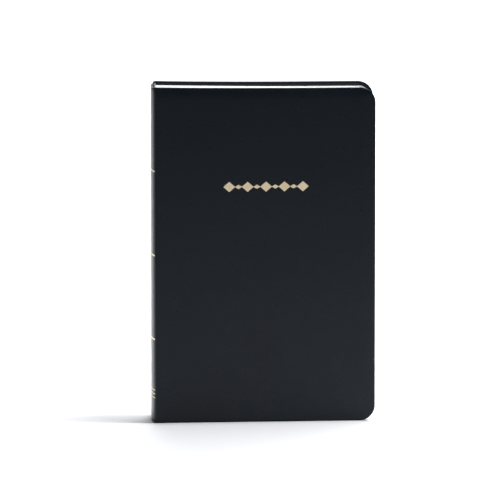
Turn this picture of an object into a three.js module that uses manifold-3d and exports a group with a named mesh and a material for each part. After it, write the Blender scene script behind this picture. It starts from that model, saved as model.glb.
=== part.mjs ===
// A closed devotional book bound in limp imitation leather, standing on its tail edge.
// Millimetres, +Z up. The front cover faces -Y, the rounded spine is at -X and the fore edge at +X.
// Every piece is built where it lies when the book is shut, so each mesh is placed by its geometry.

import * as THREE from 'three';
import { mergeVertices } from 'three/addons/utils/BufferGeometryUtils.js';
import Module from 'manifold-3d';

const wasm = await Module();
wasm.setup();

// ---- Driving dimensions ----

const HEIGHT = 218; // cover, head to tail
const WIDTH = 142.5; // spine to fore edge
const THICKNESS = 25; // front face to back face
const SPINE_BULGE = 3; // the rounded spine stands out this far past the joints
const HEAD_CORNER = 9; // cover corner radii, on the fore edge only
const TAIL_CORNER = 11;
const EDGE_ROUNDING = 0.8; // leather wrapped over the board's edge

const SKIN = 0.7; // imitation leather
const BOARD = 0.8; // flexible card board where the leather is turned over it
const TURN_IN = 0.5; // leather folded over the board's inner face
const TURN_IN_WIDTH = 14;
const PAPER = 0.2; // endpaper
const FILM = 0.05; // between two glued layers
const HINGE_GAP = 0.3; // between the spine leather and each cover's leather
const JOINT = 7.5; // leather between the spine's shoulder and the board

const SQUARE = 2.6; // the covers stand this far past the leaves at head and tail
const LEAF_WIDTH = 136.2;
const LEAF_HEAD_CORNER = 7;
const LEAF_TAIL_CORNER = 8.5;
const SIGNATURES = 20;
const SIGNATURE_GAP = 0.04; // air between two sewn sections
const FOLD_THICKNESS = 0.08; // a section tapers to its fold
const FOLD_TAPER = 7;
const FOLD_ROUNDING = 1; // the middle sections' folds stand out this far past the outer ones

const THREAD_ROWS = 6;
const THREAD = 0.4;
const MULL = 0.2;
const LINING = 0.4;
const INLAY = 0.5;
const SPINE_TURN_IN = 0.3;
const SPINE_TURN_IN_HEIGHT = 12;
const BAND_RADIUS = 0.7;
const BAND_TAPE_HEIGHT = 8;

const FOIL = 0.08;
const FOIL_DEPTH = 0.12; // foil is pressed into the leather
const FOIL_CLEARANCE = 0.05;
const RULE_WIDTH = 1;
const FINE_RULE_WIDTH = 0.5;
const FINE_RULE_HEIGHTS = [16.4, 18.9, 21.4];
const RULE_HALF_SPAN = 11.4;
const ORNAMENT = { x: 1.5, z: 153.2, width: 54.5, height: 6.6 };

// ---- Worked out from them ----

const FORE_EDGE = WIDTH / 2;
const SHOULDER = -WIDTH / 2 + SPINE_BULGE;
const COVER = SKIN + FILM + BOARD + FILM + TURN_IN;
const PASTEDOWN_DEPTH = COVER + FILM;
const FLYLEAF_DEPTH = PASTEDOWN_DEPTH + PAPER + FILM;
const BLOCK_DEPTH = FLYLEAF_DEPTH + PAPER + FILM;
const BLOCK_HALF = THICKNESS / 2 - BLOCK_DEPTH;
const SIGNATURE_PITCH = (2 * BLOCK_HALF) / SIGNATURES;
const LEAF_FOOT = SQUARE;
const LEAF_TOP = HEIGHT - SQUARE;

const PASTEDOWN_MARGIN = 3;
const PASTEDOWN_START = SHOULDER + 2;
const BOARD_START = SHOULDER + JOINT;
const FLYLEAF_FOLD = SHOULDER + 0.25;

// The spine of the leaves and everything glued to it follow one rounded curve.
const FOLD_CURVE = { x: SHOULDER + 0.9, a: FOLD_ROUNDING, b: BLOCK_HALF + 0.95 };
// The leather spine's own curve, which meets both covers tangentially.
const SPINE_CURVE = { x: SHOULDER, a: SPINE_BULGE, b: THICKNESS / 2 };

// ---- Materials ----

const finish = (color, roughness, metalness = 0) =>
  new THREE.MeshStandardMaterial({ color, roughness, metalness });

const leather = finish(0x23262b, 0.42);
const board = finish(0x9a8f7c, 0.9);
const paper = finish(0xf4f1ea, 0.85);
const endpaper = finish(0xefeae0, 0.8);
const gauze = finish(0xe4dcc8, 0.95);
const thread = finish(0xe9e3d3, 0.7);
const bandCloth = finish(0xf0ece2, 0.6);
const goldFoil = finish(0xd9bd84, 0.3, 0.9);

// ---- Solids ----

/** A three.js geometry as a manifold solid. */
function solid(geometry) {
  geometry.deleteAttribute('normal');
  geometry.deleteAttribute('uv');
  const merged = mergeVertices(geometry, 1e-5);
  const vertProperties = Float32Array.from(merged.attributes.position.array);
  const triVerts = Uint32Array.from(merged.index.array);
  return new wasm.Manifold(new wasm.Mesh({ numProp: 3, vertProperties, triVerts }));
}

/** A manifold solid as a named mesh. */
function mesh(name, manifold, material) {
  const result = manifold.getMesh();
  const geometry = new THREE.BufferGeometry();
  geometry.setAttribute('position', new THREE.BufferAttribute(result.vertProperties, 3));
  geometry.setIndex(new THREE.BufferAttribute(result.triVerts, 1));
  geometry.computeVertexNormals();
  const object = new THREE.Mesh(geometry, material);
  object.name = name;
  return object;
}

const joined = (solids) => solids.reduce((whole, next) => whole.add(next));

/** An outline of width and height (x, z), made solid between two depths (y). */
function plate(shape, y0, y1, rounding = 0) {
  const geometry = new THREE.ExtrudeGeometry(shape, {
    depth: Math.abs(y1 - y0) - 2 * rounding,
    bevelEnabled: rounding > 0,
    bevelThickness: rounding,
    bevelSize: rounding,
    bevelOffset: -rounding,
    bevelSegments: 3,
    curveSegments: 8,
  });
  geometry.rotateX(Math.PI / 2);
  geometry.translate(0, Math.max(y0, y1) - rounding, 0);
  return solid(geometry);
}

/** A rectangle whose two fore-edge corners are rounded. */
function leafOutline(x0, x1, z0, z1, tailRadius, headRadius) {
  const shape = new THREE.Shape();
  shape.moveTo(x0, z0);
  shape.lineTo(x1 - tailRadius, z0);
  shape.absarc(x1 - tailRadius, z0 + tailRadius, tailRadius, -Math.PI / 2, 0, false);
  shape.lineTo(x1, z1 - headRadius);
  shape.absarc(x1 - headRadius, z1 - headRadius, headRadius, 0, Math.PI / 2, false);
  shape.lineTo(x0, z1);
  shape.closePath();
  return shape;
}

/** The cover's outline, drawn in from its edges by inset and starting at x0. */
function coverOutline(x0, inset) {
  const radius = (corner) => Math.max(corner - inset, 2);
  return leafOutline(
    x0, FORE_EDGE - inset, inset, HEIGHT - inset, radius(TAIL_CORNER), radius(HEAD_CORNER),
  );
}

/** The wall between two ellipses about one centre, open towards +X, from z0 to z1. */
function crescent(curve, outer, inner, halfSpan, z0, z1) {
  const arc = (offset) => {
    const b = curve.b + offset;
    const reach = halfSpan < b ? Math.asin(halfSpan / b) : Math.PI / 2;
    return { a: curve.a + offset, b, start: Math.PI - reach, end: Math.PI + reach };
  };
  const out = arc(outer);
  const back = arc(inner);
  const shape = new THREE.Shape();
  shape.absellipse(curve.x, 0, out.a, out.b, out.start, out.end, false, 0);
  shape.absellipse(curve.x, 0, back.a, back.b, back.end, back.start, true, 0);
  shape.closePath();
  const geometry = new THREE.ExtrudeGeometry(shape, {
    depth: z1 - z0, bevelEnabled: false, curveSegments: 20,
  });
  geometry.translate(0, 0, z0);
  return solid(geometry);
}

/** A lozenge standing in the cover's plane. */
function lozenge(x, z, halfWidth, halfHeight) {
  const shape = new THREE.Shape();
  shape.moveTo(x - halfWidth, z);
  shape.lineTo(x, z - halfHeight);
  shape.lineTo(x + halfWidth, z);
  shape.lineTo(x, z + halfHeight);
  shape.closePath();
  return shape;
}

// ---- Covers ----

/** Distance from the middle of the book for a depth below a cover's outer face. */
const yAt = (side, depth) => side * (THICKNESS / 2 - depth);

/** Gold ornament on the front cover: five large lozenges linked by four small ones. */
function ornament(depth0, depth1, grow) {
  const large = 5;
  const halfLarge = 3.8;
  const pitch = (ORNAMENT.width - 2 * halfLarge) / (large - 1);
  const halfSmall = pitch / 2 - halfLarge + 0.3;
  const lozenges = [];
  for (let i = 0; i < large; i += 1) {
    const x = ORNAMENT.x + (i - (large - 1) / 2) * pitch;
    lozenges.push(lozenge(x, ORNAMENT.z, halfLarge + grow, ORNAMENT.height / 2 + grow));
    if (i < large - 1) {
      lozenges.push(lozenge(x + pitch / 2, ORNAMENT.z, halfSmall + grow, 1.4 + grow));
    }
  }
  return joined(lozenges.map((shape) => plate(shape, yAt(-1, depth0), yAt(-1, depth1))));
}

/** One cover's leather: a sheet whose edges are turned in over the board. */
function coverSkin(side) {
  const start = SHOULDER + HINGE_GAP;
  const beyond = start - 5;
  const whole = plate(coverOutline(beyond, 0), yAt(side, 0), yAt(side, COVER), EDGE_ROUNDING);
  const seat = plate(
    coverOutline(beyond - 1, SKIN), yAt(side, SKIN), yAt(side, COVER - TURN_IN),
  );
  const window = plate(
    coverOutline(beyond - 1, TURN_IN_WIDTH), yAt(side, SKIN), yAt(side, COVER + 1),
  );
  const spineEnd = plate(
    leafOutline(beyond - 1, start, -1, HEIGHT + 1, 0.01, 0.01), yAt(side, -1), yAt(side, COVER + 1),
  );
  return whole.subtract(seat).subtract(window).subtract(spineEnd);
}

/** The card inside a cover, thicker in the middle where no leather is turned over it. */
function coverBoard(side) {
  const low = plate(
    coverOutline(BOARD_START, SKIN + FILM), yAt(side, SKIN + FILM), yAt(side, SKIN + FILM + BOARD),
  );
  const high = plate(
    coverOutline(BOARD_START, TURN_IN_WIDTH + FILM), yAt(side, SKIN + FILM), yAt(side, COVER - FILM),
  );
  return low.add(high);
}

/** The endpaper leaf pasted to the inside of a cover. */
function pastedown(side) {
  return plate(
    coverOutline(PASTEDOWN_START, PASTEDOWN_MARGIN),
    yAt(side, PASTEDOWN_DEPTH),
    yAt(side, PASTEDOWN_DEPTH + PAPER),
  );
}

/** The free endpaper leaf, hinged where it is tipped to the outer section. */
function flyleaf(side) {
  return plate(
    leafOutline(
      FLYLEAF_FOLD, FLYLEAF_FOLD + LEAF_WIDTH, LEAF_FOOT, LEAF_TOP, LEAF_TAIL_CORNER, LEAF_HEAD_CORNER,
    ),
    yAt(side, FLYLEAF_DEPTH),
    yAt(side, FLYLEAF_DEPTH + PAPER),
  );
}

// ---- Leaves ----

/** Where a section's fold lies for its distance from the middle of the book. */
const foldX = (y) => FOLD_CURVE.x - FOLD_CURVE.a * Math.sqrt(1 - (y / FOLD_CURVE.b) ** 2);

/** One sewn section of folded leaves, tapering to its fold. */
function signature(y) {
  const half = (SIGNATURE_PITCH - SIGNATURE_GAP) / 2;
  const fold = foldX(y);
  const leaves = plate(
    leafOutline(fold - 1, fold + LEAF_WIDTH, LEAF_FOOT, LEAF_TOP, LEAF_TAIL_CORNER, LEAF_HEAD_CORNER),
    y - half,
    y + half,
  );
  const section = new THREE.Shape();
  section.moveTo(fold, y - FOLD_THICKNESS / 2);
  section.lineTo(fold + FOLD_TAPER, y - half - 0.001);
  section.lineTo(fold + FOLD_TAPER, y - 1);
  section.lineTo(fold + LEAF_WIDTH + 1, y - 1);
  section.lineTo(fold + LEAF_WIDTH + 1, y + 1);
  section.lineTo(fold + FOLD_TAPER, y + 1);
  section.lineTo(fold + FOLD_TAPER, y + half + 0.001);
  section.lineTo(fold, y + FOLD_THICKNESS / 2);
  section.closePath();
  const wedge = new THREE.ExtrudeGeometry(section, { depth: HEIGHT, bevelEnabled: false });
  return leaves.intersect(solid(wedge));
}

// ---- Spine ----

const glued = (offset) => FOLD_THICKNESS + offset;
const MULL_OFFSET = glued(THREAD) + FILM;
const LINING_OFFSET = MULL_OFFSET + MULL + FILM;
const GLUED_SPAN = BLOCK_HALF - 0.15;

/** One row of sewing thread across the sections' folds. */
function threadRow(z) {
  return crescent(
    FOLD_CURVE, glued(THREAD), FOLD_THICKNESS, GLUED_SPAN - 0.3, z - THREAD / 2, z + THREAD / 2,
  );
}

/** The cotton gauze glued over the sewn folds. */
const mull = () =>
  crescent(FOLD_CURVE, MULL_OFFSET + MULL, MULL_OFFSET, GLUED_SPAN, LEAF_FOOT + 12, LEAF_TOP - 12);

/** The paper tube that stiffens the spine over the gauze. */
const lining = () =>
  crescent(FOLD_CURVE, LINING_OFFSET + LINING, LINING_OFFSET, GLUED_SPAN, LEAF_FOOT, LEAF_TOP);

/** A woven band at one end of the folds: a bead above the leaves on a tape behind them. */
function endBand(end) {
  const edge = end > 0 ? LEAF_TOP : LEAF_FOOT;
  const beadZ = edge + end * (BAND_RADIUS + 0.15);
  const span = GLUED_SPAN - 0.5;
  const offset = glued(THREAD / 2) + 0.1;
  const curve = { a: FOLD_CURVE.a + offset, b: FOLD_CURVE.b + offset };
  const reach = Math.asin(span / curve.b);
  const path = new THREE.CatmullRomCurve3(
    Array.from({ length: 9 }, (_, i) => {
      const angle = Math.PI - reach + (2 * reach * i) / 8;
      return new THREE.Vector3(
        FOLD_CURVE.x + curve.a * Math.cos(angle), curve.b * Math.sin(angle), beadZ,
      );
    }),
  );
  const section = new THREE.Shape();
  section.absarc(0, 0, BAND_RADIUS, 0, 2 * Math.PI, false);
  const bead = new THREE.ExtrudeGeometry(section, {
    steps: 16, curveSegments: 10, bevelEnabled: false, extrudePath: path,
  });
  const tapeEnds = [edge - end * BAND_TAPE_HEIGHT, beadZ].sort((p, q) => p - q);
  const tape = crescent(
    FOLD_CURVE, glued(THREAD) - 0.05, FOLD_THICKNESS, span, tapeEnds[0], tapeEnds[1],
  );
  return solid(bead).add(tape);
}

/** The leather over the spine, turned in at head and tail, with grooves for the gold rules. */
function spineSkin(rules) {
  const flangeOuter = -SKIN - INLAY - 2 * FILM;
  const flangeInner = flangeOuter - SPINE_TURN_IN;
  const parts = [crescent(SPINE_CURVE, 0, -SKIN, THICKNESS, 0, HEIGHT)];
  for (const z of [0, HEIGHT - SKIN]) {
    parts.push(crescent(SPINE_CURVE, 0, flangeInner, THICKNESS, z, z + SKIN));
  }
  for (const z of [0.1, HEIGHT - 0.1 - SPINE_TURN_IN_HEIGHT]) {
    parts.push(
      crescent(SPINE_CURVE, flangeOuter, flangeInner, THICKNESS, z, z + SPINE_TURN_IN_HEIGHT),
    );
  }
  const grooves = rules.map(({ z, width }) => crescent(
    SPINE_CURVE, 1, -FOIL_DEPTH, RULE_HALF_SPAN + 0.2,
    z - width / 2 - FOIL_CLEARANCE, z + width / 2 + FOIL_CLEARANCE,
  ));
  return joined(parts).subtract(joined(grooves));
}

/** One gold rule around the spine. */
const spineRule = ({ z, width }) =>
  crescent(
    SPINE_CURVE, FOIL - FOIL_DEPTH - 0.01, -FOIL_DEPTH + 0.01, RULE_HALF_SPAN,
    z - width / 2, z + width / 2,
  );

/** The card strip that stiffens the leather spine. */
const spineInlay = () =>
  crescent(
    SPINE_CURVE, -SKIN - FILM, -SKIN - FILM - INLAY, BLOCK_HALF, SKIN + FILM, HEIGHT - SKIN - FILM,
  );

// ---- The book ----

const book = new THREE.Group();

const rules = [1, 2, 3].map((quarter) => ({ z: (HEIGHT * quarter) / 4, width: RULE_WIDTH }));
for (const z of FINE_RULE_HEIGHTS) {
  rules.push({ z, width: FINE_RULE_WIDTH });
}

const spine = new THREE.Group();
spine.add(mesh('spine_skin', spineSkin(rules), leather));
spine.add(mesh('spine_inlay', spineInlay(), board));
spine.add(mesh('spine_lining', lining(), paper));
spine.add(mesh('mull', mull(), gauze));
spine.add(mesh('headband', endBand(1), bandCloth));
spine.add(mesh('tailband', endBand(-1), bandCloth));
rules.forEach((rule, i) => {
  spine.add(mesh(`spine_rule_${i + 1}`, spineRule(rule), goldFoil));
});
for (let row = 0; row < THREAD_ROWS; row += 1) {
  const z = LEAF_FOOT + 10 + (row * (LEAF_TOP - LEAF_FOOT - 20)) / (THREAD_ROWS - 1);
  spine.add(mesh(`sewing_thread_${row + 1}`, threadRow(z), thread));
}
book.add(spine);

const foilBed = ornament(-1, FOIL_DEPTH, FOIL_CLEARANCE);
for (const [name, side] of [['front', -1], ['back', 1]]) {
  const cover = new THREE.Group();
  const skin = side < 0 ? coverSkin(side).subtract(foilBed) : coverSkin(side);
  cover.add(mesh(`${name}_cover_skin`, skin, leather));
  cover.add(mesh(`${name}_board`, coverBoard(side), board));
  cover.add(mesh(`${name}_pastedown`, pastedown(side), endpaper));
  book.add(cover);
  book.add(mesh(`${name}_flyleaf`, flyleaf(side), endpaper));
}
book.add(mesh('cover_ornament', ornament(FOIL_DEPTH - FOIL - 0.01, FOIL_DEPTH - 0.01, 0), goldFoil));

const leaves = new THREE.Group();
for (let i = 0; i < SIGNATURES; i += 1) {
  const y = (i - (SIGNATURES - 1) / 2) * SIGNATURE_PITCH;
  const number = String(i + 1).padStart(2, '0');
  leaves.add(mesh(`signature_${number}`, signature(y), paper));
}
book.add(leaves);

export default book;
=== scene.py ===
"""A limp-bound devotional book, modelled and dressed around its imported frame.

The front cover faces -Y, the rounded spine is at -X and the tail edge stands on z = 0. Lengths are
in metres; names that end in MM are millimetres.
"""

import logging
import math
from dataclasses import dataclass, field
from enum import Enum
from typing import Iterable

import bmesh
import bpy
from mathutils import Matrix, Vector, noise
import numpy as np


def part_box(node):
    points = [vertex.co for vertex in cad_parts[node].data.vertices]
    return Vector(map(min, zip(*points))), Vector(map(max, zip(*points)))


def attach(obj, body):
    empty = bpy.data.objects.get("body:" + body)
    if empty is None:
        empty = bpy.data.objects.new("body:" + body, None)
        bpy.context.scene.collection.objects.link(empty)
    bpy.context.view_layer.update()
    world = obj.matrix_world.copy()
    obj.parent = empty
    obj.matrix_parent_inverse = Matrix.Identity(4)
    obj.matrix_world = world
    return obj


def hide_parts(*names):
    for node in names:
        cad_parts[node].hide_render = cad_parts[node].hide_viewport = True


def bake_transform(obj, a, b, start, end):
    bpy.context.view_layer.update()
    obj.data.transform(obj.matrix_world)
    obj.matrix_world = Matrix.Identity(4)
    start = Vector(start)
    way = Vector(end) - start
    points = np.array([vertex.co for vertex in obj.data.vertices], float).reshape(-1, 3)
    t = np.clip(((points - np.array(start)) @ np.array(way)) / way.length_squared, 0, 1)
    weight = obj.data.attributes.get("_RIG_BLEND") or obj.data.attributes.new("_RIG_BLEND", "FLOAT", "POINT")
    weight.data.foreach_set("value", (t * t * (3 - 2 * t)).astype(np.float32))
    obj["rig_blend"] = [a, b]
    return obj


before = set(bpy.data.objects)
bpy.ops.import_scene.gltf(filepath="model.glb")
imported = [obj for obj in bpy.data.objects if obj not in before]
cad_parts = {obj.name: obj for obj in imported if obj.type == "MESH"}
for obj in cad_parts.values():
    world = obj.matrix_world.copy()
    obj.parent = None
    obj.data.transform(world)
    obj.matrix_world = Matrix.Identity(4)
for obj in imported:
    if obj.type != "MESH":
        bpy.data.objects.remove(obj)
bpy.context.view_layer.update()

MM = 0.001
SPECK = 0.002 * MM  # edges shorter than this are closed up
WELD = 1e-7  # points closer than this are one
TOUCH = 1e-6  # points closer to a plane than this lie in it
EDGE_BAND = 1.6 * MM  # how far in from its edges the leather is lighter, from wear and a painted highlight
RULES = [f"spine_rule_{i}" for i in range(1, 7)]
THREADS = [f"sewing_thread_{i}" for i in range(1, 7)]
REST = "rest"
# The leather's lighter edges: wear, together with a painted highlight band.
WEAR_AND_HIGHLIGHT = "worn_and_lit"
STRIPE = "stripe"
CUT_EDGE = "cut_edge"
LOG = logging.getLogger("book")

BMesh = bmesh.types.BMesh
Face = bmesh.types.BMFace
Edge = bmesh.types.BMEdge
Vert = bmesh.types.BMVert
Socket = bpy.types.NodeSocket
Tree = bpy.types.NodeTree


class Side(Enum):
    """The two covers, by the sign of their Y."""

    FRONT = -1
    BACK = 1

    @property
    def label(self) -> str:
        """The word that starts this side's node and body names."""
        return self.name.lower()


class End(Enum):
    """One end of the book's back, by the CAD node of its band."""

    HEAD = "headband"
    TAIL = "tailband"

    @property
    def node(self) -> str:
        """The band's CAD node."""
        return self.value


# --- Materials ---


def linear(hex_colour: str) -> tuple[float, float, float, float]:
    """Turns an sRGB hex colour into linear light.

    Args:
        hex_colour: Six hex digits, such as "1a2b3c".

    Returns:
        Linear red, green and blue, and an alpha of 1.
    """
    channels = [int(hex_colour[i : i + 2], 16) / 255 for i in (0, 2, 4)]
    lit = [c / 12.92 if c <= 0.04045 else ((c + 0.055) / 1.055) ** 2.4 for c in channels]
    return (*lit, 1.0)


def cells(size_mm: float) -> float:
    """The scale of a noise whose features are size_mm across, on coordinates in metres."""
    return 1 / (size_mm * MM)


def bands(pitch_mm: float) -> float:
    """The scale of a wave whose bands are pitch_mm apart, on coordinates in metres."""
    return math.tau / 20 / (pitch_mm * MM)


def add_node(
    tree: Tree, kind: str, inputs: dict[str | int, object], **settings: object
) -> bpy.types.Node:
    """Adds a shader node, sets it up and wires it.

    Args:
        tree: The node tree to add to.
        kind: The node's type, without its ShaderNode prefix.
        inputs: For each input socket, by name or number, its value, or the socket or the node
            whose first output feeds it.
        **settings: Properties of the node.

    Returns:
        The new node.
    """
    node = tree.nodes.new("ShaderNode" + kind)
    for name, value in settings.items():
        setattr(node, name, value)
    for key, value in inputs.items():
        if isinstance(value, bpy.types.Node):
            value = value.outputs[0]
        if isinstance(value, Socket):
            tree.links.new(value, node.inputs[key])
        else:
            node.inputs[key].default_value = value
    return node


@dataclass(frozen=True)
class Finish:
    """A material: its name, its slot in the record, its even properties and its patterns.

    A finish that bends with its piece takes its patterns from where each point lay when the book
    was shut, which the piece keeps as an attribute.
    """

    name: str
    slot: str
    colours: tuple[str, str]
    roughness: tuple[float, float]
    metallic: float = 0.0
    ior: float = 1.5
    specular: float = 0.5
    sheen: float = 0.0
    bends: bool = False
    cloud_mm: float = 16.0
    fibre_mm: float = 0.9
    dull_mm: float = 7.0
    dull_detail: float = 5.0
    grain_mm: float = 0.5
    grain_detail: float = 4.0
    relief_mm: float = 0.02

    def make(self) -> bpy.types.Material:
        """Builds the material the first time, and finds it again after that.

        Returns:
            The material.
        """
        found = bpy.data.materials.get(self.name)
        if found is not None:
            return found
        material = bpy.data.materials.new(self.name)
        material.use_nodes = True
        material.diffuse_color = linear(self.colours[0])
        tree = material.node_tree
        tree.nodes.clear()
        if self.bends:
            place = add_node(tree, "Attribute", {}, attribute_name=REST).outputs["Vector"]
        else:
            place = add_node(tree, "TexCoord", {}).outputs["Object"]
        height = self.relief(tree, place)
        bump = add_node(
            tree, "Bump", {"Strength": 1.0, "Distance": self.relief_mm * MM, "Height": height}
        )
        # Nearly all of a noise's values lie from 0.3 to 0.7.
        gloss = add_node(
            tree,
            "MapRange",
            {
                "Value": self.flecks(tree, place),
                "From Min": 0.3,
                "From Max": 0.7,
                "To Min": self.roughness[0],
                "To Max": self.roughness[1],
            },
        )
        colour = add_node(
            tree,
            "Mix",
            {0: self.shade(tree, place), 6: linear(self.colours[0]), 7: linear(self.colours[1])},
            data_type="RGBA",
        )
        surface = add_node(
            tree,
            "BsdfPrincipled",
            {
                "Base Color": colour.outputs[2],
                "Roughness": gloss,
                "Metallic": self.metallic,
                "IOR": self.ior,
                "Specular IOR Level": self.specular,
                "Sheen Weight": self.sheen,
                "Normal": bump,
            },
        )
        add_node(tree, "OutputMaterial", {"Surface": surface})
        return material

    def shade(self, tree: Tree, place: Socket) -> Socket:
        """Where the second colour takes over from the first: soft clouds and fine fibres.

        Args:
            tree: The material's node tree.
            place: The point's place, in metres.

        Returns:
            A share from 0 to 1.
        """
        clouds = add_node(
            tree, "TexNoise", {"Vector": place, "Scale": cells(self.cloud_mm), "Detail": 3.0}
        )
        fibres = add_node(
            tree, "TexNoise", {"Vector": place, "Scale": cells(self.fibre_mm), "Detail": 4.0}
        )
        both = add_node(tree, "Math", {0: clouds, 1: fibres}, operation="ADD")
        return add_node(
            tree, "MapRange", {"Value": both, "From Min": 0.4, "From Max": 1.6}
        ).outputs[0]

    def flecks(self, tree: Tree, place: Socket) -> Socket:
        """Where the surface is duller: a pattern around a half."""
        settings = {"Vector": place, "Scale": cells(self.dull_mm), "Detail": self.dull_detail}
        return add_node(tree, "TexNoise", settings).outputs[0]

    def relief(self, tree: Tree, place: Socket) -> Socket:
        """The height of the surface's grain, as a share of relief_mm."""
        settings = {"Vector": place, "Scale": cells(self.grain_mm), "Detail": self.grain_detail}
        return add_node(tree, "TexNoise", settings).outputs[0]


@dataclass(frozen=True)
class BondedLeather(Finish):
    """Leather with a rolled grain and a satin coat, lighter where it is stretched over edges, from wear and
    a painted highlight.
    """

    cloud_mm: float = 38.0
    speck_mm: float = 1.1
    grain_mm: float = 0.85
    crease_mm: float = 0.3
    dye: float = 0.5
    creasing: float = 0.6

    def shade(self, tree: Tree, place: Socket) -> Socket:
        """Faint clouds in the dye, and lighter specks along the edges: wear together with a painted
        highlight band.

        Args:
            tree: The material's node tree.
            place: The point's place, in metres.

        Returns:
            A share from 0 to 1.
        """
        clouds = add_node(
            tree, "TexNoise", {"Vector": place, "Scale": cells(self.cloud_mm), "Detail": 3.0}
        )
        specks = add_node(
            tree, "TexNoise", {"Vector": place, "Scale": cells(self.speck_mm), "Detail": 5.0}
        )
        # Lighter specks along the edges: partly wear, partly a painted highlight band.
        worn_and_lit = add_node(tree, "Attribute", {}, attribute_name=WEAR_AND_HIGHLIGHT).outputs["Fac"]
        rubbed_and_lit = add_node(tree, "Math", {0: worn_and_lit, 1: specks}, operation="MULTIPLY")
        return add_node(
            tree,
            "Math",
            {0: clouds, 1: self.dye, 2: rubbed_and_lit},
            operation="MULTIPLY_ADD",
            use_clamp=True,
        ).outputs[0]

    def relief(self, tree: Tree, place: Socket) -> Socket:
        """Pebbles a little under a millimetre across, with finer creases between them.

        Args:
            tree: The material's node tree.
            place: The point's place, in metres.

        Returns:
            The height pattern.
        """
        pebbles = add_node(
            tree,
            "TexVoronoi",
            {"Vector": place, "Scale": cells(self.grain_mm), "Smoothness": 0.7},
            feature="SMOOTH_F1",
        )
        creases = add_node(
            tree,
            "TexNoise",
            {"Vector": place, "Scale": cells(self.crease_mm), "Detail": 3.0, "Distortion": 0.6},
        )
        return add_node(
            tree, "Math", {0: creases, 1: self.creasing, 2: pebbles}, operation="MULTIPLY_ADD"
        ).outputs[0]


@dataclass(frozen=True)
class LeafEdges(Finish):
    """Stacked thin paper, whose cut edges show as fine lines."""

    cloud_mm: float = 9.0
    leaf_mm: float = 0.42
    gap_shade: float = 0.75
    relief_mm: float = 0.03

    def lines(self, tree: Tree, place: Socket) -> Socket:
        """The edges of single leaves, drawn ten times as thick as they are so that they show.

        Args:
            tree: The material's node tree.
            place: The point's place, in metres.

        Returns:
            A pattern from 0 between leaves to 1 on them.
        """
        return add_node(
            tree,
            "TexWave",
            {
                "Vector": place,
                "Scale": bands(self.leaf_mm),
                "Distortion": 0.7,
                "Detail": 3.0,
                "Detail Scale": 0.12,
                "Detail Roughness": 0.6,
            },
            bands_direction="Y",
            wave_profile="SIN",
        ).outputs["Fac"]

    def shade(self, tree: Tree, place: Socket) -> Socket:
        """Clean on the leaves' faces, with faint clouds; painted shade between them along the edges.

        Args:
            tree: The material's node tree.
            place: The point's place, in metres.

        Returns:
            A share from 0 to 1.
        """
        clouds = add_node(
            tree, "TexNoise", {"Vector": place, "Scale": cells(self.cloud_mm), "Detail": 4.0}
        )
        clean = add_node(
            tree, "MapRange", {"Value": clouds, "To Min": 0.84, "To Max": 1.0}
        ).outputs[0]
        between = add_node(
            tree, "Math", {0: 1.0, 1: self.lines(tree, place)}, operation="SUBTRACT"
        )
        edge = add_node(tree, "Attribute", {}, attribute_name=CUT_EDGE).outputs["Fac"]
        # Painted shade: the cut edges darken between the leaves.
        shaded_gaps = add_node(tree, "Math", {0: between, 1: edge}, operation="MULTIPLY")
        return add_node(
            tree,
            "Math",
            {0: shaded_gaps, 1: -self.gap_shade, 2: clean},
            operation="MULTIPLY_ADD",
            use_clamp=True,
        ).outputs[0]

    def relief(self, tree: Tree, place: Socket) -> Socket:
        """Grooves between the leaves."""
        return self.lines(tree, place)


@dataclass(frozen=True)
class Woven(Finish):
    """Cloth or thread: one set of yarns crossed by another."""

    pitch_mm: float = 0.5
    relief_mm: float = 0.05

    def shade(self, tree: Tree, place: Socket) -> Socket:
        """Paler on top of the yarns than between them: painted shade in the hollows between the yarns."""
        # Painted shade in the hollows between the yarns.
        return self.relief(tree, place)

    def relief(self, tree: Tree, place: Socket) -> Socket:
        """Warp and weft, the higher of the two at each point.

        Args:
            tree: The material's node tree.
            place: The point's place, in metres.

        Returns:
            The height pattern.
        """
        warp, weft = (
            add_node(
                tree,
                "TexWave",
                {
                    "Vector": place,
                    "Scale": bands(self.pitch_mm),
                    "Distortion": 0.5,
                    "Detail": 1.0,
                },
                bands_direction=direction,
                wave_profile="SIN",
            ).outputs["Fac"]
            for direction in ("Y", "Z")
        )
        return add_node(tree, "Math", {0: warp, 1: weft}, operation="MAXIMUM").outputs[0]


@dataclass(frozen=True)
class StripedBand(Woven):
    """Yarns of two colours wound by turns over a cord."""

    def shade(self, tree: Tree, place: Socket) -> Socket:
        """The lighter yarn where the piece's own stripes say so."""
        return add_node(tree, "Attribute", {}, attribute_name=STRIPE).outputs["Fac"]


# Bonded leather, coated and rolled: a blue-black satin that shades softly and hides its grain
# until it is seen close to.
LEATHER = BondedLeather(
    "bonded leather, rolled grain",
    "leather",
    ("060f18", "121f2c"),
    (0.265, 0.325),
    specular=0.235,
    bends=True,
)
# Opacified printing paper, guillotined: a clean white block with fine lines of painted shade between the
# leaves along its edges.
LEAF_PAPER = LeafEdges(
    "bible paper, guillotined",
    "leaf_paper",
    ("8a8883", "f3f3f0"),
    (0.7, 0.9),
    ior=1.45,
    specular=0.3,
    bends=True,
)
# Wove endpaper, smooth and uncoated: a warmer, slightly mottled white.
ENDPAPER = Finish(
    "endpaper, wove",
    "endpaper",
    ("e6e2d8", "f1eee6"),
    (0.75, 0.9),
    ior=1.45,
    specular=0.3,
    bends=True,
)
# Pressed grey board from waste paper: a dull mottled grey brown, seen only where leather lifts.
BOARD = Finish("binder's board, pressed", "board", ("8d8373", "a79c88"), (0.85, 0.95))
# Kraft paper pasted on the folds: brown and fibrous.
LINING = Finish("kraft paper, pasted", "lining_paper", ("b59a74", "c4aa85"), (0.8, 0.92))
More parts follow.
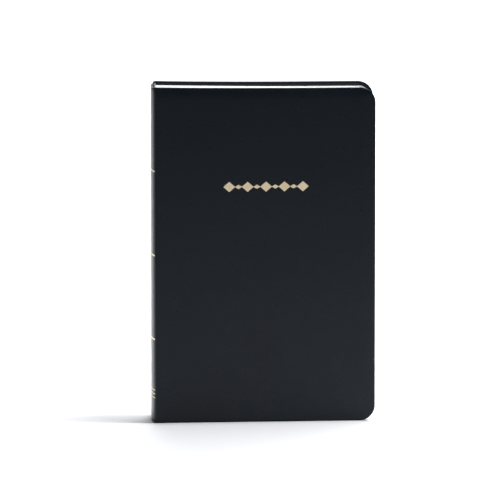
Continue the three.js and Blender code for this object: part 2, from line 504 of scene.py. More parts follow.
# Starched cotton mull, an open weave about a millimetre apart: a pale net.
MULL = Woven(
    "cotton mull, open weave",
    "gauze",
    ("a89e8a", "ebe4d3"),
    (0.9, 0.98),
    sheen=0.3,
    pitch_mm=1.1,
    relief_mm=0.15,
)
# Waxed linen thread, two plies twisted: cream with a dull shine.
THREAD = Woven(
    "linen thread, waxed", "thread", ("cfc6b0", "f2ecdd"), (0.55, 0.7), sheen=0.2, pitch_mm=0.3
)
# Rayon band woven over a cord, black and grey by turns: fine dark stripes with a silky sheen.
BAND = StripedBand(
    "rayon band, striped",
    "band_cloth",
    ("15181c", "63625f"),
    (0.4, 0.6),
    sheen=0.3,
    pitch_mm=0.3,
    relief_mm=0.03,
)
# Gold foil stamped hot into the leather: pale champagne gold with a broken, satin glint.
FOIL = Finish(
    "gold foil, hot stamped",
    "gold_foil",
    ("ebcf9b", "fff4da"),
    (0.3, 0.55),
    metallic=1.0,
    dull_mm=0.4,
    dull_detail=3.0,
    grain_mm=0.8,
    grain_detail=3.0,
    relief_mm=0.05,
)
# Matt background paper: an even white.
FLOOR = Finish("background paper, matt", "", ("f6f6f7", "fafafb"), (0.9, 0.95))


# --- Mesh helpers ---


def smooth(t: float) -> float:
    """A smooth step from 0 to 1 as t goes from 0 to 1."""
    t = min(max(t, 0.0), 1.0)
    return t * t * (3 - 2 * t)


def set_shading(bm: BMesh, sharp_deg: float = 38.0) -> None:
    """Shades every face smooth, and the sharper edges sharp.

    Args:
        bm: The shape.
        sharp_deg: Edges that turn by more than this are sharp.
    """
    limit = math.radians(sharp_deg)
    for face in bm.faces:
        face.smooth = True
    for edge in bm.edges:
        edge.smooth = len(edge.link_faces) == 2 and edge.calc_face_angle(0.0) < limit


def mark_rest(mesh: bpy.types.Mesh) -> None:
    """Stores each point's place in the shut book, for finishes that bend with their piece.

    Args:
        mesh: The piece's mesh.
    """
    layer = mesh.attributes.get(REST) or mesh.attributes.new(REST, "FLOAT_VECTOR", "POINT")
    for point, vert in zip(layer.data, mesh.vertices):
        point.vector = vert.co


def finish_piece(
    bm: BMesh, name: str, finish: Finish, sharp_deg: float = 38.0
) -> bpy.types.Object:
    """Turns a bmesh into a shown object at the origin.

    Args:
        bm: The shape, which is freed.
        name: The piece's name.
        finish: Its material.
        sharp_deg: Edges that turn by more than this are shaded sharp.

    Returns:
        The object, not yet riding on a body.
    """
    set_shading(bm, sharp_deg)
    mesh = bpy.data.meshes.new(name)
    bm.to_mesh(mesh)
    bm.free()
    mark_rest(mesh)
    piece = bpy.data.objects.new(name, mesh)
    bpy.context.scene.collection.objects.link(piece)
    piece.data.materials.append(finish.make())
    return piece


def block(low: Vector, high: Vector) -> BMesh:
    """A bmesh box between two corners.

    Args:
        low: Its least corner.
        high: Its greatest corner.

    Returns:
        The box.
    """
    bm = bmesh.new()
    bmesh.ops.create_cube(bm, size=1.0)
    bmesh.ops.scale(bm, vec=high - low, verts=bm.verts)
    bmesh.ops.translate(bm, vec=(low + high) / 2, verts=bm.verts)
    return bm


def round_edges(bm: BMesh, edges: list[Edge], radius: float, segments: int) -> None:
    """Rounds edges to a radius.

    Args:
        bm: The shape.
        edges: The edges to round.
        radius: How far the rounding starts from each edge.
        segments: How many facets it has.
    """
    bmesh.ops.bevel(
        bm,
        geom=edges,
        offset=radius,
        offset_type="OFFSET",
        segments=segments,
        profile=0.5,
        affect="EDGES",
        material=-1,
    )


def cut_at(bm: BMesh, axis: int, places: Iterable[float]) -> None:
    """Cuts the whole mesh by planes across an axis, keeping both sides.

    Args:
        bm: The shape.
        axis: 0, 1 or 2 for planes across x, y or z.
        places: Where the planes are along the axis.
    """
    normal = Vector((0, 0, 0))
    normal[axis] = 1.0
    for place in places:
        geom = bm.verts[:] + bm.edges[:] + bm.faces[:]
        bmesh.ops.bisect_plane(bm, geom=geom, dist=WELD, plane_co=normal * place, plane_no=normal)


def steps(start: float, end: float, count: int) -> list[float]:
    """Count places from start to end, both included."""
    return [start + (end - start) * i / (count - 1) for i in range(count)]


def lies_at(item: Edge | Face, axis: int, place: float) -> bool:
    """Whether an edge or a face lies in the plane across an axis at a place."""
    return all(abs(v.co[axis] - place) < TOUCH for v in item.verts)


def leaf_block(
    low: Vector, high: Vector, tail_radius: float, head_radius: float, segments: int
) -> BMesh:
    """A box with its two fore-edge corners rounded.

    Args:
        low: Its least corner.
        high: Its greatest corner.
        tail_radius: The lower corner's radius.
        head_radius: The upper corner's radius.
        segments: How many facets each corner has.

    Returns:
        The shape.
    """
    bm = block(low, high)
    for radius, z in ((tail_radius, low.z), (head_radius, high.z)):
        corner = [e for e in bm.edges if lies_at(e, 0, high.x) and lies_at(e, 2, z)]
        round_edges(bm, corner, radius, segments)
    return bm


def flat_edges(bm: BMesh, y: float) -> list[Edge]:
    """The edges that lie in the plane at y."""
    return [e for e in bm.edges if lies_at(e, 1, y)]


def flat_faces(bm: BMesh, y: float) -> list[Face]:
    """The faces that lie in the plane at y."""
    return [f for f in bm.faces if lies_at(f, 1, y)]


def mirror_to_back(bm: BMesh) -> None:
    """Moves a shape made for the front cover over to the back one."""
    bmesh.ops.scale(bm, vec=Vector((1, -1, 1)), verts=bm.verts)
    bmesh.ops.reverse_faces(bm, faces=bm.faces)


# --- The book's sub-assemblies ---


@dataclass
class Case:
    """The leather case's outer sizes, read from the frame."""

    shoulder: float
    fore_edge: float
    height: float
    half_thickness: float
    bulge: float
    cover: float
    joint_flex: float = 5.0 * MM
    cover_droop: tuple[float, float] = (1.35 * MM, 2.5)
    leaf_droop: tuple[float, float] = (2.1 * MM, 1.7)
    droop_from: float = 0.75
    clear_of_joint: float = 12.0 * MM
    clear_of_edge: float = 8.0 * MM
    clear_of_head: float = 9.0 * MM
    cuts_across: int = 10
    cuts_up: int = 7

    @classmethod
    def from_frame(cls) -> "Case":
        """Reads the sizes of the CAD leather.

        Returns:
            The case.
        """
        cover_low, cover_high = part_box("front_cover_skin")
        spine_low, spine_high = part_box("spine_skin")
        return cls(
            shoulder=spine_high.x,
            fore_edge=cover_high.x,
            height=cover_high.z,
            half_thickness=-cover_low.y,
            bulge=spine_high.x - spine_low.x,
            cover=cover_high.y - cover_low.y,
        )

    def edge_distance(self, x: float, z: float) -> float:
        """How far in from the nearest free edge of the covers a point is."""
        return min(self.fore_edge - x, z, self.height - z)

    def limp(self, bm: BMesh, droop: tuple[float, float]) -> None:
        """Cuts a flat piece where it bends gently, then lets its head edge sink.

        Args:
            bm: The piece, changed in place.
            droop: How far its fore corner sinks, and how soon.
        """
        fore, top = self.fore_edge - self.clear_of_edge, self.height - self.clear_of_head
        cut_at(bm, 0, steps(self.shoulder + self.clear_of_joint, fore, self.cuts_across))
        cut_at(bm, 2, steps(self.droop_from * self.height, top, self.cuts_up))
        self.droop(bm, droop)

    def droop(self, bm: BMesh, droop: tuple[float, float]) -> None:
        """Lets the head edge of a limp piece sink away from the stiff spine.

        Args:
            bm: The piece, moved in place.
            droop: How far its fore corner sinks, and how soon: 1 is evenly across the width,
                more is nearer the spine.
        """
        most, power = droop
        width = self.fore_edge - self.shoulder
        for vert in bm.verts:
            along = min(max((vert.co.x - self.shoulder) / width, 0.0), 1.0)
            up = smooth((vert.co.z / self.height - self.droop_from) / (1 - self.droop_from))
            vert.co.z -= most * up * (1 - (1 - along) ** power)

    def flex(self, side: Side) -> tuple[tuple[float, float, float], tuple[float, float, float]]:
        """Where a cover's leather bends at its joint.

        Args:
            side: Which cover.

        Returns:
            Where the bend starts, and where it ends.
        """
        y = side.value * self.half_thickness
        z = self.height / 2
        return (self.shoulder, y, z), (self.shoulder + self.joint_flex, y, z)


@dataclass
class CoverLeather:
    """One cover's leather: a sheet wrapped over the board's edges and turned in behind it."""

    case: Case
    side: Side
    head_radius: float = 10.1 * MM
    tail_radius: float = 9.8 * MM
    edge_radius: float = 0.98 * MM
    sheet: float = 0.5 * MM
    crown: float = 0.28 * MM
    crown_width: float = 5.0 * MM
    pleat: float = 0.22 * MM
    pleats_per_turn: int = 44
    wave: float = 0.07 * MM
    wave_mm: float = 48.0
    wave_fade: float = 6.0 * MM
    stamp_clear: float = 3.0 * MM
    stamp_fade: float = 22.0 * MM
    # The lighter band along the edges: wear at the fore corners, and a painted highlight all round.
    corner_reach: float = 12.0 * MM
    edge_wear_and_highlight: float = 0.45
    beyond_joint: float = 12.0 * MM
    clear_of_end: float = 12.0 * MM
    joint_cuts: int = 15
    cuts_across: int = 16
    cuts_up: int = 26
    corner_facets: int = 28
    edge_facets: int = 5
    outer_rings_mm: tuple[float, ...] = (0.9, 1.2, 1.8, 3.0)
    inner_rings_mm: tuple[float, ...] = (0.7, 1.2, 2.0, 3.4)

    def build(self) -> bpy.types.Object:
        """Models the sheet, stamps it if it is the front one, and bends it at the joint.

        Returns:
            The piece.
        """
        bm = self.wrapped_sheet()
        self.relax(bm)
        self.mark_wear_and_highlight(bm)
        bmesh.ops.solidify(bm, geom=bm.faces[:], thickness=self.sheet)
        if self.side is Side.BACK:
            mirror_to_back(bm)
        piece = finish_piece(bm, f"{self.side.label}_leather", LEATHER)
        if self.side is Side.FRONT:
            stamp(piece, "cover_ornament")
        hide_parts(f"{self.side.label}_cover_skin")
        start, end = self.case.flex(self.side)
        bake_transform(piece, "spine", f"{self.side.label}_cover", start=start, end=end)
        return piece

    def wrapped_sheet(self) -> BMesh:
        """The outer face, the rounded edges and the turned-in border, open along the spine.

        Returns:
            A surface with no thickness yet, for the front cover.
        """
        case = self.case
        outer, inner = -case.half_thickness, -case.half_thickness + case.cover
        low = Vector((case.shoulder - self.beyond_joint, outer, 0.0))
        high = Vector((case.fore_edge, inner, case.height))
        bm = leaf_block(low, high, self.tail_radius, self.head_radius, self.corner_facets)
        rim = flat_edges(bm, outer) + flat_edges(bm, inner)
        round_edges(bm, rim, self.edge_radius, self.edge_facets)
        for y, rings in ((outer, self.outer_rings_mm), (inner, self.inner_rings_mm)):
            for ring_mm in rings:
                bmesh.ops.inset_region(
                    bm, faces=self.largest(bm, y), thickness=ring_mm * MM, use_even_offset=True
                )
        bmesh.ops.delete(bm, geom=self.largest(bm, inner), context="FACES")
        geom = bm.verts[:] + bm.edges[:] + bm.faces[:]
        bmesh.ops.bisect_plane(
            bm,
            geom=geom,
            dist=WELD,
            plane_co=(case.shoulder, 0, 0),
            plane_no=(-1, 0, 0),
            clear_outer=True,
        )
        bend, fore = case.shoulder + case.joint_flex, case.fore_edge - case.clear_of_edge
        cut_at(bm, 0, steps(case.shoulder, bend, self.joint_cuts)[1:])
        cut_at(bm, 0, steps(bend + case.joint_flex, fore, self.cuts_across))
        end = self.clear_of_end
        cut_at(bm, 2, steps(end, case.height - end, self.cuts_up))
        return bm

    @staticmethod
    def largest(bm: BMesh, y: float) -> list[Face]:
        """The largest face in the plane at y, in a list."""
        return sorted(flat_faces(bm, y), key=lambda f: f.calc_area())[-1:]

    def relax(self, bm: BMesh) -> None:
        """Lets the sheet sink at its edges, dip at the head and pleat round its corners.

        Args:
            bm: The surface from wrapped_sheet, moved in place.
        """
        case = self.case
        middle = -case.half_thickness + case.cover / 2
        for vert in bm.verts:
            x, y, z = vert.co
            edge = case.edge_distance(x, z)
            if y < middle:
                fall = 1 - smooth((edge - self.edge_radius) / self.crown_width)
                vert.co.y += self.crown * fall * smooth((middle - y) / (case.cover / 2))
                free = self.clear_of_stamp(x, z) * smooth(edge / self.wave_fade)
                swell = 1 + noise.noise(vert.co * cells(self.wave_mm) + self.seed)
                vert.co.y += self.wave * free * swell
            else:
                vert.co.y -= self.pleated(x, z) * smooth((y - middle) / (case.cover / 2))
        case.droop(bm, case.cover_droop)

    @property
    def seed(self) -> Vector:
        """What tells one cover's unevenness from the other's."""
        return Vector((0, 17.0 * self.side.value, 0))

    def clear_of_stamp(self, x: float, z: float) -> float:
        """How free the leather is to be uneven.

        Args:
            x: The point's place across the cover.
            z: Its height.

        Returns:
            0 at the ornament, rising to 1 well away from it.
        """
        low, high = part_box("cover_ornament")
        off_x = max(low.x - x, x - high.x, 0.0)
        off_z = max(low.z - z, z - high.z, 0.0)
        return smooth((math.hypot(off_x, off_z) - self.stamp_clear) / self.stamp_fade)

    def pleated(self, x: float, z: float) -> float:
        """How far the turned-in leather is drawn down between its pleats.

        Args:
            x: The point's place across the cover.
            z: Its height.

        Returns:
            The depth, which is nothing away from the corners.
        """
        for radius, centre_z in (
            (self.tail_radius, self.tail_radius),
            (self.head_radius, self.case.height - self.head_radius),
        ):
            dx = x - (self.case.fore_edge - radius)
            dz = (z - centre_z) * (1 if centre_z > self.case.height / 2 else -1)
            if dx > 0 and dz > 0:
                angle = math.atan2(dz, dx)
                fade_in = 0.25 * radius
                fade = smooth(dx / fade_in) * smooth(dz / fade_in)
                wave = 0.5 - 0.5 * math.cos(angle * self.pleats_per_turn)
                return self.pleat * fade * wave
        return 0.0

    def mark_wear_and_highlight(self, bm: BMesh) -> None:
        """Stores how much lighter the leather is at each point, for its material: wear, strongest at the
        fore corners, and a painted highlight band along every edge.

        Args:
            bm: The surface.
        """
        case, reach = self.case, self.corner_reach
        layer = bm.verts.layers.float.new(WEAR_AND_HIGHLIGHT)
        for vert in bm.verts:
            x, _, z = vert.co
            across = (x - case.fore_edge + reach) / reach
            along = (abs(z - case.height / 2) - case.height / 2 + reach) / reach
            corner = smooth(across) * smooth(along)
            rubbed_and_lit = 1 - smooth(case.edge_distance(x, z) / EDGE_BAND)
            # Painted highlight along every edge, with wear rising to full at the fore corners.
            vert[layer] = (self.edge_wear_and_highlight + (1 - self.edge_wear_and_highlight) * corner) * rubbed_and_lit


def stamp(piece: bpy.types.Object, node: str) -> None:
    """Presses the outline of a CAD foil node into a piece of leather.

    Args:
        piece: The leather, whose mesh is replaced.
        node: The foil's CAD node, which stays as it is.
    """
    clearance, depth_below = 0.05 * MM, 0.02 * MM
    bm = bmesh.new()
    bm.from_mesh(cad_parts[node].data)
    bmesh.ops.remove_doubles(bm, verts=bm.verts, dist=WELD)
    bm.normal_update()
    low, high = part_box(node)
    middle = (low.y + high.y) / 2
    moves = []
    for vert in bm.verts:
        out = Vector((vert.normal.x, 0, vert.normal.z))
        moves.append(out.normalized() * clearance if out.length > TOUCH else Vector())
    for vert, move in zip(bm.verts, moves):
        vert.co += move
        vert.co.y = low.y - MM if vert.co.y < middle else high.y + depth_below
    mesh = bpy.data.meshes.new("stamp")
    bm.to_mesh(mesh)
    bm.free()
    die = bpy.data.objects.new("stamp", mesh)
    bpy.context.scene.collection.objects.link(die)
    cut = piece.modifiers.new("stamped", "BOOLEAN")
    cut.operation = "DIFFERENCE"
    cut.solver = "EXACT"
    cut.object = die
    stamped = bpy.data.meshes.new_from_object(
        piece.evaluated_get(bpy.context.evaluated_depsgraph_get())
    )
    bm = bmesh.new()
    bm.from_mesh(stamped)
    set_shading(bm)
    bm.to_mesh(stamped)
    bm.free()
    mark_rest(stamped)
    piece.modifiers.clear()
    piece.data = stamped
    bpy.data.objects.remove(die)


@dataclass
class SpineLeather:
    """The leather over the rounded spine, turned in at head and tail, grooved under each rule."""

    case: Case
    sheet: float = 0.4 * MM
    turn_in: float = 8.0 * MM
    wrap: float = 1.65 * MM
    groove: float = 0.12 * MM
    cap: float = 1.0 * MM
    cap_reach: float = 9.0 * MM
    lip: float = 0.06 * MM
    # Lighter caps and shoulders: wear together with a painted highlight.
    end_wear_and_highlight: float = 0.8
    shoulder_wear_and_highlight: float = 0.25
    shoulder_from: float = 0.8
    shoulder_band: float = 2.0 * MM
    segments: int = 128
    turn_facets: int = 8

    def build(self) -> bpy.types.Object:
        """Sweeps the arc through its rings, then gives it its thickness.

        Returns:
            The piece.
        """
        bm = bmesh.new()
        bmesh.ops.create_circle(bm, segments=self.segments, radius=1.0, cap_ends=False)
        right = [v for v in bm.verts if v.co.x > TOUCH]
        bmesh.ops.delete(bm, geom=right, context="VERTS")
        at = Vector((1.0, 1.0, 0.0))
        ring = self.ring_size(*self.rings()[0])
        self.move_ring(bm, bm.verts[:], at, ring)
        edges = bm.edges[:]
        for inset, z in self.rings()[1:]:
            grown = bmesh.ops.extrude_edge_only(bm, edges=edges)["geom"]
            edges = [g for g in grown if isinstance(g, Edge)]
            verts = [g for g in grown if isinstance(g, Vert)]
            size = self.ring_size(inset, z)
            self.move_ring(bm, verts, ring, size)
            ring = size
        bmesh.ops.translate(bm, vec=(self.case.shoulder, 0, 0), verts=bm.verts)
        for vert in bm.verts:
            out = (self.case.shoulder - vert.co.x) / self.case.bulge
            head = smooth(1 - (self.case.height - vert.co.z) / self.cap_reach)
            tail = smooth(1 - vert.co.z / self.cap_reach)
            hollow = math.sin(math.pi * min(max(out, 0.0), 1.0) ** 1.5)
            vert.co.z += self.cap * (tail * out * out - head * hollow)
        bmesh.ops.recalc_face_normals(bm, faces=bm.faces)
        probe = max(bm.faces, key=lambda f: -f.calc_center_median().x)
        if probe.normal.x > 0:
            bmesh.ops.reverse_faces(bm, faces=bm.faces)
        self.mark_wear_and_highlight(bm)
        bmesh.ops.solidify(bm, geom=bm.faces[:], thickness=self.sheet)
        piece = finish_piece(bm, "spine_leather", LEATHER)
        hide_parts("spine_skin")
        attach(piece, "spine")
        return piece

    def ring_size(self, inset: float, z: float) -> Vector:
        """The half-widths of the arc at an inset, and its height."""
        return Vector((self.case.bulge - inset, self.case.half_thickness - inset, z))

    @staticmethod
    def move_ring(bm: BMesh, verts: list[Vert], was: Vector, now: Vector) -> None:
        """Scales and lifts a ring of vertices from one size and height to another."""
        bmesh.ops.scale(bm, vec=(now.x / was.x, now.y / was.y, 1.0), verts=verts)
        bmesh.ops.translate(bm, vec=(0, 0, now.z - was.z), verts=verts)

    def rings(self) -> list[tuple[float, float]]:
        """Lists the rings, from inside the tail, up the outside, to inside the head.

        Returns:
            Each ring's inset from the outside of the spine, and its height.
        """
        half = self.wrap / 2
        tail = [(self.wrap, self.turn_in), (self.wrap, self.turn_in / 2), (self.wrap, half)]
        for i in range(1, self.turn_facets):
            angle = math.pi * i / self.turn_facets
            tail.append((half + half * math.cos(angle), half - half * math.sin(angle)))
        tail += [(0.0, half), (0.0, self.cap_reach / 3), (0.0, self.cap_reach)]
        body = []
        for low, high in sorted(map(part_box, RULES), key=lambda corners: corners[0].z):
            z0, z1 = low.z - self.lip, high.z + self.lip
            body += [(0.0, z0 - self.lip), (self.groove, z0), (self.groove, z1)]
            body += [(0.0, z1 + self.lip)]
        head = [(inset, self.case.height - z) for inset, z in reversed(tail)]
        return tail + body + head

    def mark_wear_and_highlight(self, bm: BMesh) -> None:
        """Stores how much lighter the leather is at each point, for its material: at the head and tail caps
        and along the shoulders, from wear and a painted highlight.

        Args:
            bm: The surface.
        """
        layer = bm.verts.layers.float.new(WEAR_AND_HIGHLIGHT)
        for vert in bm.verts:
            end = min(vert.co.z, self.case.height - vert.co.z)
            past = abs(vert.co.y) - self.shoulder_from * self.case.half_thickness
            shoulder = self.shoulder_wear_and_highlight * smooth(past / self.shoulder_band)
            # Painted highlight with wear: lighter at the head and tail caps and along both shoulders.
            vert[layer] = max(self.end_wear_and_highlight * (1 - smooth(end / EDGE_BAND)), shoulder)


@dataclass
class Inlay:
    """The card strip in the spine, trimmed clear of the leather turned over it."""

    case: Case
    trim: float = 1.3 * MM

    def build(self) -> bpy.types.Object:
        """Shortens a copy of the CAD strip at both ends.

        Returns:
            The piece.
        """
        bm = bmesh.new()
        bm.from_mesh(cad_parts["spine_inlay"].data)
        bmesh.ops.remove_doubles(bm, verts=bm.verts, dist=WELD)
        for vert in bm.verts:
            vert.co.z += self.trim if vert.co.z < self.case.height / 2 else -self.trim
        bmesh.ops.recalc_face_normals(bm, faces=bm.faces)
        piece = finish_piece(bm, "spine_inlay_strip", BOARD)
        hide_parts("spine_inlay")
        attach(piece, "spine")
        return piece


@dataclass
class Endpapers:
    """One side's endpaper: the half pasted to the cover, and the free leaf."""

    case: Case
    side: Side
    gutter: float = 0.35 * MM
    pasted_corners: tuple[float, float] = (8.0 * MM, 6.0 * MM)
    free_corners: tuple[float, float] = (8.5 * MM, 12.2 * MM)
    corner_facets: int = 12
    joint_cuts: int = 14
    fly_cuts: int = 15
    step_cuts: int = 4
    fly_flex: float = 7.0 * MM
    turn_in: float = 8.4 * MM
    step: float = 1.2 * MM
    sunk: float = 0.14 * MM

    def sink(self, bm: BMesh) -> None:
        """Lets the paper sink to the board inside the turned-in leather.

        Args:
            bm: The pasted sheet, moved in place.
        """
        case = self.case
        for vert in bm.verts:
            edge = case.edge_distance(vert.co.x, vert.co.z)
            inside = min(edge, vert.co.x - case.shoulder) - self.turn_in
            vert.co.y += self.side.value * self.sunk * smooth(inside / self.step)

    def build(self) -> list[bpy.types.Object]:
        """Makes both halves and bends each at the gutter."""
        return [self.pasted(), self.free()]

    def pasted(self) -> bpy.types.Object:
        """The half that lines the cover, running on across the joint to the leaves.

        Returns:
            The piece.
        """
        case, label, far = self.case, self.side.label, self.turn_in + self.step
        low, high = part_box(f"{label}_pastedown")
        low = Vector((case.shoulder + self.gutter, low.y, low.z))
        bm = leaf_block(low, high, *self.pasted_corners, self.corner_facets)
        for axis, first, last in ((0, case.shoulder, case.fore_edge), (2, 0.0, case.height)):
            cut_at(bm, axis, steps(first + self.turn_in, first + far, self.step_cuts))
            cut_at(bm, axis, steps(last - far, last - self.turn_in, self.step_cuts))
        self.sink(bm)
        start, end = case.flex(self.side)
        cut_at(bm, 0, steps(low.x, end[0], self.joint_cuts)[1:])
        case.limp(bm, case.cover_droop)
        piece = finish_piece(bm, f"{label}_pastedown_sheet", ENDPAPER)
        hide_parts(f"{label}_pastedown")
        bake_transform(piece, "spine", f"{label}_cover", start=start, end=end)
        return piece

    def free(self) -> bpy.types.Object:
        """The leaf that turns, tipped to the outermost section.

        Returns:
            The piece.
        """
        label = self.side.label
        low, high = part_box(f"{label}_flyleaf")
        bm = leaf_block(low, high, *self.free_corners, self.corner_facets)
        cut_at(bm, 0, steps(low.x, low.x + self.fly_flex, self.fly_cuts)[1:])
        self.case.limp(bm, self.case.leaf_droop)
        piece = finish_piece(bm, f"{label}_free_leaf", ENDPAPER)
        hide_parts(f"{label}_flyleaf")
        y = (low.y + high.y) / 2
        start, end = (low.x, y, 0), (low.x + self.fly_flex, y, 0)
        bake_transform(piece, "spine", f"{label}_flyleaf", start=start, end=end)
        return piece


@dataclass
class Board:
    """The board in one cover, cut from sheet with softened edges."""

    case: Case
    side: Side
    corner: float = 9.5 * MM
    corner_facets: int = 12
    softening: float = 0.15 * MM
    relief: float = 0.25 * MM

    def build(self) -> bpy.types.Object:
        """Cuts the board a little inside its leather.

        Returns:
            The piece.
        """
        name = f"{self.side.label}_board"
        low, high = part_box(name)
        if self.side is Side.FRONT:
            high.y -= self.relief
        else:
            low.y += self.relief
        bm = leaf_block(low, high, self.corner, self.corner, self.corner_facets)
        rim = flat_edges(bm, low.y) + flat_edges(bm, high.y)
        round_edges(bm, rim, self.softening, segments=2)
        self.case.limp(bm, self.case.cover_droop)
        piece = finish_piece(bm, f"{name}_sheet", BOARD)
        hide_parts(name)
        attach(piece, f"{self.side.label}_cover")
        return piece


@dataclass
class EndBand:
    """A band woven over a cord, glued round the folds at one end of the leaves."""

    case: Case
    end: End
    cord: float = 0.68 * MM
    pitch: float = 0.46 * MM
    dip: float = 0.1 * MM
    tape: float = 0.18 * MM
    inset: float = 1.2 * MM
    fall: float = 1.4 * MM
    tape_cuts: int = 21
    facets: int = 10
    rings_per_rib: int = 4

    def build(self) -> bpy.types.Object:
        """Bends the tape, then threads the ribbed bead along its edge.

        Returns:
            The piece.
        """
        low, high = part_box(self.end.node)
        top = high.z - self.cord if self.end is End.HEAD else low.z + self.cord
        foot = low.z if self.end is End.HEAD else high.z
        half = high.y
        middle = high.x - self.cord - self.bow(half)
        strip_low = Vector((middle - self.tape / 2, -half, min(top, foot)))
        strip_high = Vector((middle + self.tape / 2, half, max(top, foot)))
        bm = block(strip_low, strip_high)
        stripes = bm.verts.layers.float.new(STRIPE)
        cut_at(bm, 1, steps(-half, half, self.tape_cuts)[1:-1])
        for vert in bm.verts:
            vert[stripes] = 1.0
            vert.co.x += self.bow(vert.co.y)
        self.thread(bm, Vector((middle, half, top)))
        bmesh.ops.recalc_face_normals(bm, faces=bm.faces)
        piece = finish_piece(bm, f"{self.end.node}_woven", BAND)
        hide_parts(self.end.node)
        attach(piece, "spine")
        return piece

    def bow(self, y: float) -> float:
        """How far the folds fall back from their middle at y."""
        share = y / (self.case.half_thickness - self.inset)
        return self.fall * (1 - math.sqrt(1 - share * share))

    def thread(self, bm: BMesh, end: Vector) -> None:
        """Adds the bead: rings in step with the ribs, joined and closed at both ends.

        Args:
            bm: The shape it is added to.
            end: The bead's middle at its last ring, before bowing.
        """
        stripes = bm.verts.layers.float[STRIPE]
        per_rib, nudge = self.rings_per_rib, 1e-5
        count = per_rib * round(2 * end.y / self.pitch)
        before: list[Edge] = []
        for i, y in enumerate(steps(-end.y, end.y, count + 1)):
            radius = self.cord - self.dip * (0.5 + 0.5 * math.cos(math.tau * i / per_rib))
            slope = math.atan2(self.bow(y + nudge) - self.bow(y - nudge), 2 * nudge)
            place = Matrix.Translation((end.x + self.bow(y), y, end.z))
            turn = Matrix.Rotation(-slope, 4, "Z") @ Matrix.Rotation(math.pi / 2, 4, "X")
            ring = bmesh.ops.create_circle(
                bm,
                segments=self.facets,
                radius=radius,
                cap_ends=i in (0, count),
                matrix=place @ turn,
            )["verts"]
            for vert in ring:
                vert[stripes] = 0.5 if i % per_rib == 0 else float(i // per_rib % 2)
            edges = list({e for v in ring for e in v.link_edges if e.other_vert(v) in ring})
            if before:
                bmesh.ops.bridge_loops(bm, edges=before + edges)
            before = edges


@dataclass
class Sections:
    """The sewn sections of leaves."""

    case: Case
    count: int = 20
    flex: float = 7.0 * MM
    corner: float = 8.4 * MM
    corner_facets: int = 10
    nick: float = 0.16 * MM
    fold_radius: float = 0.4 * MM
    fold_clear: float = 0.8 * MM
    fold_cuts: int = 13

    def build(self) -> list[bpy.types.Object]:
        """Makes every section."""
        return [self.section(number) for number in range(1, self.count + 1)]

    def section(self, number: int) -> bpy.types.Object:
        """One folded section: a round fold, nicked edges, and a flexible strip by the fold.

        Args:
            number: Which section, counted from the front.

        Returns:
            The piece.
        """
        name = f"signature_{number:02d}"
        low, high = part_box(name)
        bm = leaf_block(low, high, self.corner, self.corner, self.corner_facets)
        rim = flat_edges(bm, low.y) + flat_edges(bm, high.y)
        round_edges(bm, [e for e in rim if not lies_at(e, 0, low.x)], self.nick, segments=2)
        long_edges = [e for e in bm.edges if e.calc_length() > self.case.height / 2]
        fold = [e for e in long_edges if lies_at(e, 0, low.x)]
        round_edges(bm, fold, self.fold_radius, segments=3)
        bmesh.ops.remove_doubles(bm, verts=bm.verts, dist=SPECK)
        bmesh.ops.dissolve_degenerate(bm, edges=bm.edges, dist=SPECK)
        edge = bm.verts.layers.float.new(CUT_EDGE)
        for vert in bm.verts:
            vert[edge] = float(low.y + TOUCH < vert.co.y < high.y - TOUCH)
        cut_at(bm, 0, steps(low.x + self.fold_clear, low.x + self.flex, self.fold_cuts))
        self.case.limp(bm, self.case.leaf_droop)
        piece = finish_piece(bm, f"section_{number:02d}", LEAF_PAPER)
        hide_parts(name)
        y = (low.y + high.y) / 2
        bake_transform(piece, "spine", name, start=(low.x, y, 0), end=(low.x + self.flex, y, 0))
        return piece


@dataclass
class CarriedNodes:
    """CAD nodes whose shapes are right, dressed with their finishes."""

    finishes: dict[str, Finish] = field(
        default_factory=lambda: {
            "cover_ornament": FOIL,
            "spine_lining": LINING,
            "mull": MULL,
            **dict.fromkeys(RULES, FOIL),
            **dict.fromkeys(THREADS, THREAD),
        }
    )

    def dress(self) -> list[bpy.types.Object]:
        """Assigns each node its material.

        Returns:
            The nodes.
        """
        dressed = []
        for name, finish in self.finishes.items():
            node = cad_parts[name]
            node.data.materials.clear()
            node.data.materials.append(finish.make())
            dressed.append(node)
        return dressed


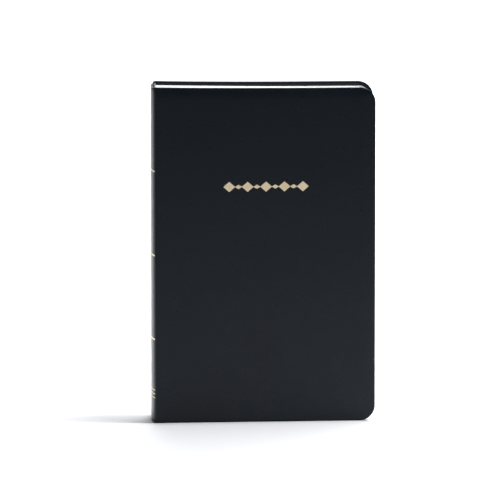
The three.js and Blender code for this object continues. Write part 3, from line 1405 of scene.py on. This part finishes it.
@dataclass
class Studio:
    """A wide white floor, soft lights, and the camera."""

    distance: float = 6.0
    azimuth_deg: float = -3.5
    elevation_deg: float = 11.6
    view_width: float = 0.31825
    target: tuple[float, float, float] = (-0.00876, -0.0125, 0.1122)
    sensor: float = 36.0
    floor_reach: float = 8.0

    def build(self) -> None:
        """Sets everything up round the book."""
        self.camera()
        self.floor()
        self.lights()

    def camera(self) -> None:
        """A long lens, slightly to the spine side and above."""
        data = bpy.data.cameras.new("camera")
        data.sensor_width = self.sensor
        data.lens = self.sensor * self.distance / self.view_width
        data.clip_end = 100.0
        azimuth, elevation = math.radians(self.azimuth_deg), math.radians(self.elevation_deg)
        back = Vector(
            (
                math.sin(azimuth) * math.cos(elevation),
                -math.cos(azimuth) * math.cos(elevation),
                math.sin(elevation),
            )
        )
        camera = bpy.data.objects.new("camera", data)
        camera.location = Vector(self.target) + back * self.distance
        camera.rotation_euler = (-back).to_track_quat("-Z", "Y").to_euler()
        bpy.context.scene.collection.objects.link(camera)
        bpy.context.scene.camera = camera

    def floor(self) -> None:
        """A wide matt floor."""
        bm = bmesh.new()
        bmesh.ops.create_grid(bm, x_segments=4, y_segments=4, size=self.floor_reach)
        mesh = bpy.data.meshes.new("floor")
        bm.to_mesh(mesh)
        bm.free()
        floor = bpy.data.objects.new("floor", mesh)
        floor.data.materials.append(FLOOR.make())
        bpy.context.scene.collection.objects.link(floor)

    def lights(self) -> None:
        """A dim surround, a broad light overhead and a narrow key to the right."""
        scene = bpy.context.scene
        scene.view_settings.view_transform = "Standard"
        world = bpy.data.worlds.new("surround")
        world.use_nodes = True
        background = world.node_tree.nodes["Background"].inputs
        background["Color"].default_value = linear("f2f5fa")
        background["Strength"].default_value = 0.06
        scene.world = world
        self.panel("overhead", place=(0.2, 1.1, 0.8), size=(0.8, 2.2), watts=26.0)
        self.panel("key", place=(0.4, -0.04, 1.3), size=(0.65, 0.14), watts=16.0)

    @staticmethod
    def panel(
        name: str, place: tuple[float, float, float], size: tuple[float, float], watts: float
    ) -> None:
        """Hangs a rectangular light, facing straight down.

        Args:
            name: The light's name.
            place: Its centre.
            size: Its width and depth.
            watts: Its power.
        """
        data = bpy.data.lights.new(name, "AREA")
        data.shape = "RECTANGLE"
        data.size, data.size_y = size
        data.energy = watts
        data.color = linear("fcfdff")[:3]
        light = bpy.data.objects.new(name, data)
        light.location = place
        bpy.context.scene.collection.objects.link(light)


def main() -> None:
    """Builds the book and its studio, reporting each piece."""
    logging.basicConfig(level=logging.INFO, format="%(name)s: %(message)s")
    Studio().build()
    case = Case.from_frame()
    pieces = [SpineLeather(case).build(), Inlay(case).build()]
    for side in Side:
        pieces.append(CoverLeather(case, side).build())
        pieces.append(Board(case, side).build())
        pieces += Endpapers(case, side).build()
    pieces += [EndBand(case, end).build() for end in End]
    pieces += Sections(case).build()
    pieces += CarriedNodes().dress()
    for piece in pieces:
        LOG.info("%s: %d faces", piece.name, len(piece.data.polygons))


if __name__ == "__main__":
    main()
